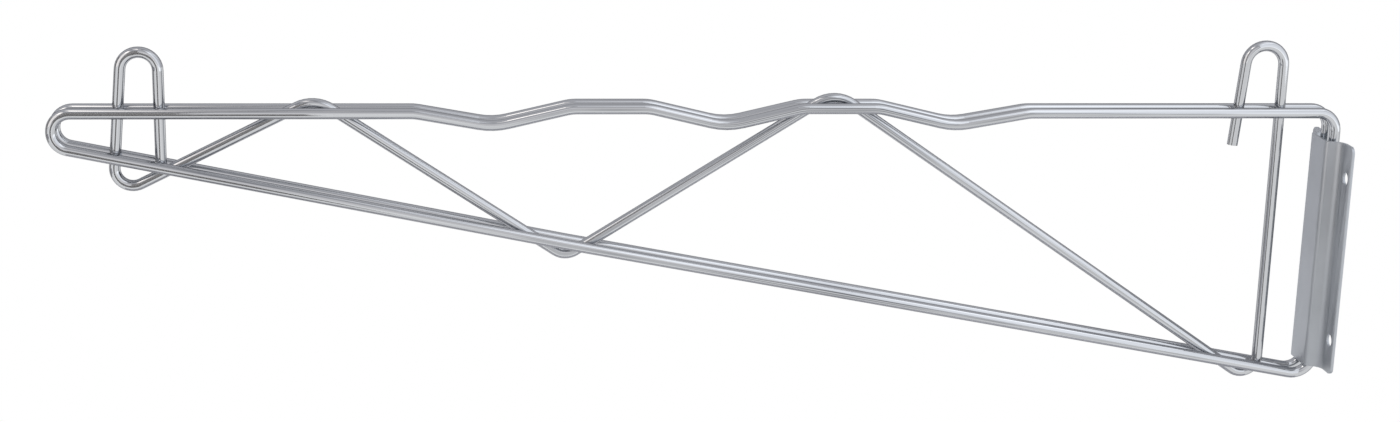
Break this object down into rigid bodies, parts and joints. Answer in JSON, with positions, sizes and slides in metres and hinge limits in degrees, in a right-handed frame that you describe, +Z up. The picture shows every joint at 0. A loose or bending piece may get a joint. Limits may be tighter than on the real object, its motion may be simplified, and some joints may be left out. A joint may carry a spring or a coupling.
{
  "type": "cantilever shelf arm",
  "caption": "Welded wire arm that reaches out from a wall plate and carries one end of a wire shelf; upright loops fit into the shelf's corner collars.",
  "frame": {"origin": "middle of the four screw holes, on the plate's wall side", "axes": "+X into the wall, the arm reaches out along -X; +Z up; Y across the arm"},
  "size_m": [0.6593, 0.054, 0.1831],
  "materials": {
    "chrome_wire": "bright plated drawn steel wire",
    "satin_plate": "satin plated folded steel sheet"
  },
  "bodies": {
    "root": {"side_rod_near": "chrome_wire", "side_rod_far": "chrome_wire", "truss_wire": "chrome_wire", "wall_plate": "satin_plate"}
  },
  "joints": []
}
